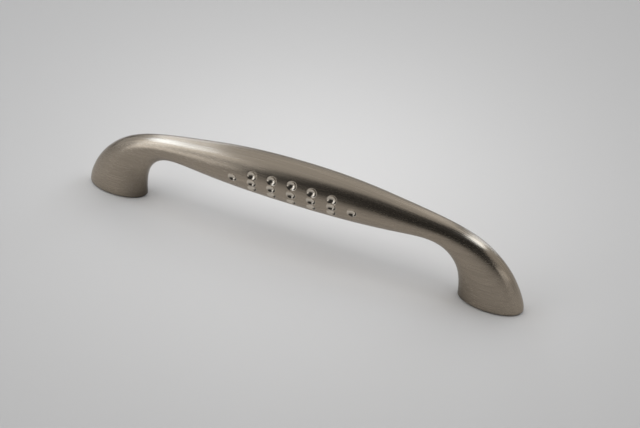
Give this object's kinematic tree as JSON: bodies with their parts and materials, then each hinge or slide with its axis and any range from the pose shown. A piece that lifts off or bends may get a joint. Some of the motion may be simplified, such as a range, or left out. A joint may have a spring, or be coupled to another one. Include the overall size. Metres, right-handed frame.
{
  "type": "cabinet pull",
  "caption": "Arched bar pull for a door or drawer: one brushed casting on two flared feet, with small round dimples on both flanks of the grip.",
  "frame": {"origin": "on the cabinet face, midway between the two mounting holes", "axes": "+X along the grip, +Y across it, +Z away from the cabinet face"},
  "size_m": [0.1484, 0.0124, 0.0317],
  "materials": {
    "satin_nickel": "satin nickel plate, brushed along the grip, with polished dimples"
  },
  "bodies": {
    "root": {"pull_body": "satin_nickel"}
  },
  "joints": []
}
